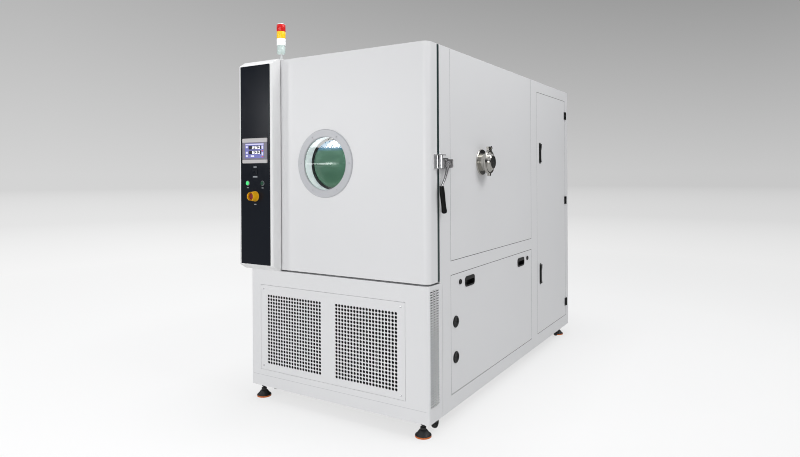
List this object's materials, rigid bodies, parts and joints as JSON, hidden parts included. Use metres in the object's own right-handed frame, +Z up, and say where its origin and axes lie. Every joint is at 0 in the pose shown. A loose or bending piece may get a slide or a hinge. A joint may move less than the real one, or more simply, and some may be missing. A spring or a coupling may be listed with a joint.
{
  "type": "environmental test chamber",
  "caption": "Floor-standing environmental test chamber with an insulated workroom, full-width windowed door, control console on the door and a machine room behind.",
  "frame": {"origin": "centre of the bounding box, on the floor", "axes": "+X to the right as seen from the front, +Y from the door to the rear, +Z up"},
  "size_m": [1.38, 2.629, 2.316],
  "materials": {
    "frame_steel": "satin",
    "casing_paint": "satin",
    "casing_inner": "satin",
    "stainless": "satin",
    "foam": "matte",
    "black_plastic": "matte",
    "black_metal": "satin",
    "silicone": "matte",
    "glass": "gloss",
    "window_metal": "satin",
    "chrome": "polished",
    "cast_metal": "satin",
    "grip": "matte",
    "fascia": "gloss",
    "bezel": "matte",
    "screen": "gloss",
    "yellow": "gloss",
    "red": "gloss",
    "green_lit": "gloss",
    "green_dark": "gloss",
    "tower_grey": "gloss",
    "tower_lens": "gloss",
    "copper": "satin",
    "compressor": "gloss",
    "motor": "satin",
    "fins": "satin",
    "castor_tread": "matte",
    "foot": "matte",
    "lamp_glass": "gloss"
  },
  "bodies": {
    "cabinet": {"base_frame": "frame_steel", "levelling_feet": "foot", "castor_mounts": "chrome", "base_front_casing": "casing_paint", "front_grille": "casing_paint", "side_skins": "casing_paint", "side_panels": "casing_paint", "panel_fittings": "black_plastic", "roof_panel": "casing_paint", "rear_panel": "casing_paint", "door_frame": "casing_paint", "insulation": "foam", "workroom_liner": "stainless", "air_baffle": "stainless", "shelving": "stainless", "coil_and_heaters": "fins", "fan_motor": "motor", "workroom_lamp": "lamp_glass", "compressors": "compressor", "condenser": "fins", "refrigerant_pipes": "copper", "electrical_cabinet": "casing_inner", "test_port": "stainless", "cabinet_hinges": "black_metal", "latch_base": "cast_metal"},
    "door": {"door_shell": "casing_paint", "door_core": "foam", "door_liner": "stainless", "door_gasket": "silicone", "window_rings": "window_metal", "window_glass": "glass", "door_hinges": "black_metal", "latch_keeper": "chrome", "console_housing": "casing_paint", "console_fascia": "fascia", "hmi_bezel": "bezel", "hmi_screen": "screen", "estop_guard": "yellow", "tower_body": "tower_grey", "tower_lenses": "tower_lens"},
    "start_button": {"start_button": "green_lit"},
    "stop_button": {"stop_button": "green_dark"},
    "estop_button": {"estop_button": "red"},
    "latch_lever": {"latch_lever": "cast_metal", "latch_grip": "grip"},
    "electrical_door": {"electrical_door": "casing_paint"},
    "swing_handle_upper": {"swing_handle_upper": "black_plastic"},
    "swing_handle_lower": {"swing_handle_lower": "black_plastic"},
    "panel_lock_front": {"panel_lock_front": "black_plastic"},
    "panel_lock_rear": {"panel_lock_rear": "black_plastic"},
    "port_wing_nut": {"port_wing_nut": "stainless"},
    "circulation_fan": {"circulation_fan": "fins"},
    "condenser_fan_left": {"condenser_fan_left": "black_plastic"},
    "condenser_fan_right": {"condenser_fan_right": "black_plastic"},
    "castor_fork_left": {"castor_fork_left": "chrome"},
    "castor_fork_right": {"castor_fork_right": "chrome"},
    "castor_wheel_front_left": {"castor_wheel_front_left": "castor_tread"},
    "castor_wheel_front_right": {"castor_wheel_front_right": "castor_tread"},
    "castor_wheel_rear_left": {"castor_wheel_rear_left": "castor_tread"},
    "castor_wheel_rear_right": {"castor_wheel_rear_right": "castor_tread"}
  },
  "joints": [
    {"name": "door_swing", "type": "hinge", "parent": "cabinet", "child": "door", "pos_m": [-0.678, -1.0755, 1.449], "axis": [0, 0, -1], "range_deg": [0, 115]},
    {"name": "start_button_press", "type": "slide", "parent": "door", "child": "start_button", "axis": [0, 1, 0], "range_m": [0, 0.003], "stiffness_N_per_m": 600, "springref_m": -0.002},
    {"name": "stop_button_press", "type": "slide", "parent": "door", "child": "stop_button", "axis": [0, 1, 0], "range_m": [0, 0.003], "stiffness_N_per_m": 600, "springref_m": -0.002},
    {"name": "estop_press", "type": "slide", "parent": "door", "child": "estop_button", "axis": [0, 1, 0], "range_m": [0, 0.005], "stiffness_N_per_m": 900, "springref_m": -0.002},
    {"name": "latch_lever_swing", "type": "hinge", "parent": "cabinet", "child": "latch_lever", "pos_m": [0.636, -1.0135, 1.442], "axis": [0, -1, 0], "range_deg": [0, 60]},
    {"name": "electrical_door_swing", "type": "hinge", "parent": "cabinet", "child": "electrical_door", "pos_m": [0.619, 1.2425, 1.152], "axis": [0, 0, 1], "range_deg": [0, 110]},
    {"name": "swing_handle_upper_lift", "type": "hinge", "parent": "electrical_door", "child": "swing_handle_upper", "pos_m": [0.6193, 0.5825, 1.6045], "axis": [0, -1, 0], "range_deg": [0, 45]},
    {"name": "swing_handle_lower_lift", "type": "hinge", "parent": "electrical_door", "child": "swing_handle_lower", "pos_m": [0.6193, 0.5825, 0.6795], "axis": [0, -1, 0], "range_deg": [0, 45]},
    {"name": "panel_lock_front_turn", "type": "hinge", "parent": "cabinet", "child": "panel_lock_front", "pos_m": [0.612, -0.8185, 0.772], "axis": [1, 0, 0], "range_deg": [0, 90]},
    {"name": "panel_lock_rear_turn", "type": "hinge", "parent": "cabinet", "child": "panel_lock_rear", "pos_m": [0.612, 0.2865, 0.772], "axis": [1, 0, 0], "range_deg": [0, 90]},
    {"name": "port_wing_nut_turn", "type": "hinge", "parent": "cabinet", "child": "port_wing_nut", "pos_m": [0.662, -0.4815, 1.542], "axis": [0, 1, 0], "continuous": true},
    {"name": "circulation_fan_spin", "type": "hinge", "parent": "cabinet", "child": "circulation_fan", "pos_m": [-0.023, 0.0245, 1.5], "axis": [0, 1, 0], "continuous": true},
    {"name": "condenser_fan_left_spin", "type": "hinge", "parent": "cabinet", "child": "condenser_fan_left", "pos_m": [-0.321, -1.0435, 0.44], "axis": [0, 1, 0], "continuous": true},
    {"name": "condenser_fan_right_spin", "type": "hinge", "parent": "cabinet", "child": "condenser_fan_right", "pos_m": [0.202, -1.0435, 0.44], "axis": [0, 1, 0], "continuous": true},
    {"name": "castor_swivel_left", "type": "hinge", "parent": "cabinet", "child": "castor_fork_left", "pos_m": [-0.603, -1.0455, 0.08], "axis": [0, 0, 1], "continuous": true},
    {"name": "castor_roll_front_left", "type": "hinge", "parent": "castor_fork_left", "child": "castor_wheel_front_left", "pos_m": [-0.603, -1.0255, 0.031], "axis": [1, 0, 0], "continuous": true},
    {"name": "castor_roll_rear_left", "type": "hinge", "parent": "cabinet", "child": "castor_wheel_rear_left", "pos_m": [-0.603, 1.1345, 0.031], "axis": [1, 0, 0], "continuous": true},
    {"name": "castor_swivel_right", "type": "hinge", "parent": "cabinet", "child": "castor_fork_right", "pos_m": [0.557, -1.0455, 0.08], "axis": [0, 0, 1], "continuous": true},
    {"name": "castor_roll_front_right", "type": "hinge", "parent": "castor_fork_right", "child": "castor_wheel_front_right", "pos_m": [0.557, -1.0255, 0.031], "axis": [1, 0, 0], "continuous": true},
    {"name": "castor_roll_rear_right", "type": "hinge", "parent": "cabinet", "child": "castor_wheel_rear_right", "pos_m": [0.557, 1.1345, 0.031], "axis": [1, 0, 0], "continuous": true}
  ]
}
